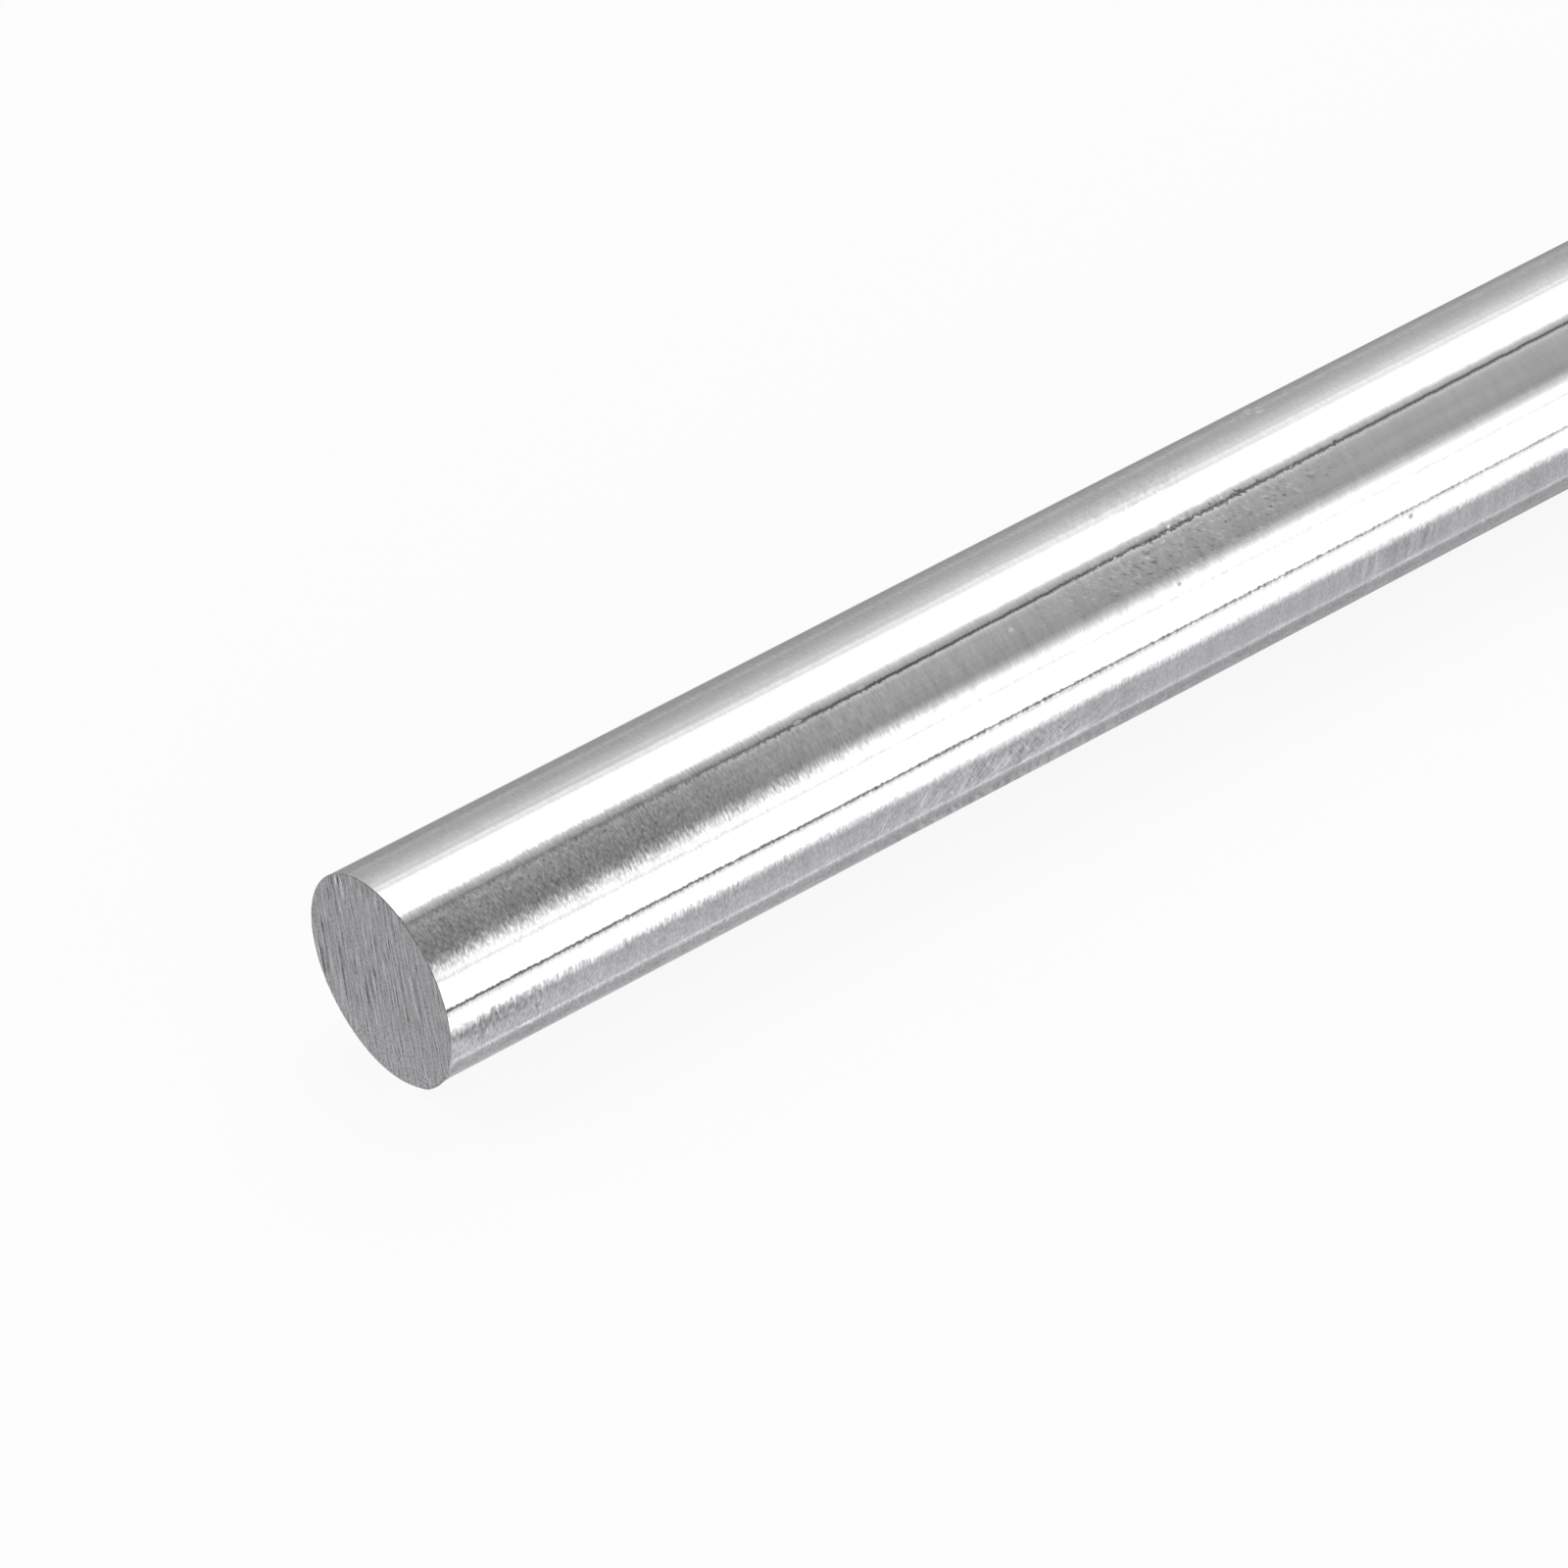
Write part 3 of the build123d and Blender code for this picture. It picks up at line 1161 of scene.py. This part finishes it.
def noise_grooves(tree, sizes, face_place, coarser, shift, aside):
    """Signed noise drawn out along the strokes, read a little to one side."""
    across, ahead, which_end = face_place
    pitch = times(tree, sizes["Mark Pitch"], coarser)
    length = times(tree, sizes["Mark Length"], coarser)
    place = combine(
        tree,
        math_node(tree, "DIVIDE", plus(tree, across, aside), pitch),
        math_node(tree, "DIVIDE", ahead, length),
        plus(tree, times(tree, plus(tree, which_end, sizes["Seed"]), apart_in_noise), shift),
    )
    return math_node(tree, "MULTIPLY_ADD", noise_at(tree, place, 1.0), 2.0, -1.0)


def fine_and_deep(tree, sizes, face_place, aside):
    """Fine grooves with a few coarser and deeper ones among them."""
    deep = noise_grooves(tree, sizes, face_place, 2.2, deep_apart, aside)
    deep = ramp_value(tree, deep, 0.15, 0.75, 0.0, 0.5)
    return plus(tree, noise_grooves(tree, sizes, face_place, 1.0, 0.0, aside), deep)


def placed_strokes(tree, to_right, upwards):
    """How much painted highlight or painted shade the placed strokes give each point: a bell
    across, soft at both ends.
    """
    stroke_light = 0.0
    for right, up, half_long, half_wide, lean, light in cut_strokes:
        lean_cos, lean_sin = math.cos(math.radians(lean)), math.sin(math.radians(lean))
        from_middle = minus(tree, to_right, right * MM)
        above_middle = minus(tree, upwards, up * MM)
        aside, ahead = turned(tree, from_middle, above_middle, lean_cos, lean_sin)
        ahead = math_node(tree, "ABSOLUTE", ahead)
        bell_width = max(least_bell, bell_over_stroke * half_wide) * MM
        shows = light * (gain_of_light if light > 0 else gain_of_dark)
        aside = times(tree, aside, 1 / bell_width)
        bell = math_node(tree, "EXPONENT", times(tree, aside, aside, -1.0))
        reach = half_long * MM
        bell = times(tree, bell, ramp_value(tree, ahead, 0.5 * reach, reach, shows, 0.0))
        stroke_light = plus(tree, stroke_light, bell)
    return stroke_light


# %% Tree of the bar
def smooth_steel(tree, sizes, mesh):
    """The mesh with crisp rims and smooth faces, and a steel for each surface."""
    angle = tree.nodes.new("GeometryNodeInputMeshEdgeAngle").outputs["Unsigned Angle"]
    crisp = math_node(tree, "GREATER_THAN", angle, math.radians(25))
    sockets = {"Geometry": mesh, "Selection": crisp, "Shade Smooth": False}
    crisp_edges = add_node(tree, "GeometryNodeSetShadeSmooth", sockets, domain="EDGE").outputs[0]
    normal = tree.nodes.new("GeometryNodeInputNormal").outputs["Normal"]
    end_on = math_node(tree, "ABSOLUTE", split(tree, normal)["X"])
    is_cut = math_node(tree, "GREATER_THAN", end_on, 0.5)
    real = add_node(tree, "GeometryNodeRealizeInstances", {"Geometry": crisp_edges}).outputs[0]
    sockets = {"Geometry": real, "Material": sizes["Side Steel"]}
    real = add_node(tree, "GeometryNodeSetMaterial", sockets).outputs[0]
    sockets = {"Geometry": real, "Selection": is_cut, "Material": sizes["Cut Steel"]}
    return add_node(tree, "GeometryNodeSetMaterial", sockets).outputs[0]


def bar_tree():
    """The geometry tree, with the bar's sizes as named inputs."""
    tree, sizes, end = new_tree("ground_bar_tree", bar_inputs)
    half_length = times(tree, sizes["Bar Length"], 0.5)
    lean_cos = math_node(tree, "COSINE", sizes["Stroke Lean"])
    lean_sin = math_node(tree, "SINE", sizes["Stroke Lean"])
    side = rolled_side(tree, sizes)
    faces = cut_faces(tree, sizes, half_length, lean_cos, lean_sin)
    closed = closed_shell(tree, (side, *faces))

    # Where each point stands, and how the rim moves it out or in.
    here = place_of(tree)
    to_end = minus(tree, half_length, math_node(tree, "ABSOLUTE", here["X"]))
    on_face = math_node(tree, "LESS_THAN", to_end, face_gap)
    scale = broken_rim(tree, sizes, here, to_end, on_face)
    new_y = times(tree, here["Y"], scale)
    new_z = times(tree, here["Z"], scale)

    # The grooves go into the two faces only. The slope across each groove is handed on as its lit
    # side, which the cut steel turns into painted highlight on one side and painted shade on the
    # other.
    which_end = math_node(tree, "SIGN", here["X"])
    back_sin = times(tree, lean_sin, -1.0)
    face_place = (*turned(tree, here["Y"], here["Z"], lean_cos, back_sin), which_end)
    groove = fine_and_deep(tree, sizes, face_place, 0.0)
    lit_side = minus(
        tree,
        fine_and_deep(tree, sizes, face_place, half_step),
        fine_and_deep(tree, sizes, face_place, -half_step),
    )
    to_right = times(tree, here["Y"], which_end)
    upwards = times(tree, here["Z"], which_end, -1.0)
    stroke_light = placed_strokes(tree, to_right, upwards)
    groove = plus(tree, groove, times(tree, stroke_light, -2.0))
    depth = most(tree, math_node(tree, "MULTIPLY_ADD", groove, 0.5, 0.5), 0.0)
    inwards = times(tree, depth, on_face, sizes["Mark Depth"], which_end)
    new_x = minus(tree, here["X"], inwards)

    # The mesh hands its grooves on to the cut steel, and then takes its new shape.
    for name, value in zip(handed_on, (groove, lit_side, stroke_light)):
        closed = stored(tree, closed, name, times(tree, value, on_face))
    new_z = plus(tree, new_z, sizes["Axis Height"])
    shaped = moved(tree, closed, combine(tree, new_x, new_y, new_z))
    tree.links.new(smooth_steel(tree, sizes, shaped), end.inputs[0])
    print(f"{tree.name}: {len(tree.nodes)} nodes")
    return tree


# %% Make the bar
def made_by_tree(name, tree, inputs):
    """The plain mesh that a geometry tree makes, as an object at the origin."""
    holder = bpy.data.objects.new(name + "_holder", bpy.data.meshes.new(name + "_holder"))
    bpy.context.scene.collection.objects.link(holder)
    modifier = holder.modifiers.new("tree", "NODES")
    modifier.node_group = tree
    for item in tree.interface.items_tree:
        if item.in_out == "INPUT" and item.name in inputs:
            modifier[item.identifier] = inputs[item.name]
    holder.update_tag()
    shapes = bpy.context.evaluated_depsgraph_get()
    mesh = bpy.data.meshes.new_from_object(holder.evaluated_get(shapes), depsgraph=shapes)
    bpy.data.objects.remove(holder)
    mesh.name = name
    made = bpy.data.objects.new(name, mesh)
    bpy.context.scene.collection.objects.link(made)
    return made


ground_bar = made_by_tree("ground_bar", bar_tree(), bar_inputs)
triangles = sum(len(face.vertices) - 2 for face in ground_bar.data.polygons)
print(f"ground_bar: {triangles} triangles")

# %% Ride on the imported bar
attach(ground_bar, "root")
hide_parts("round_bar")
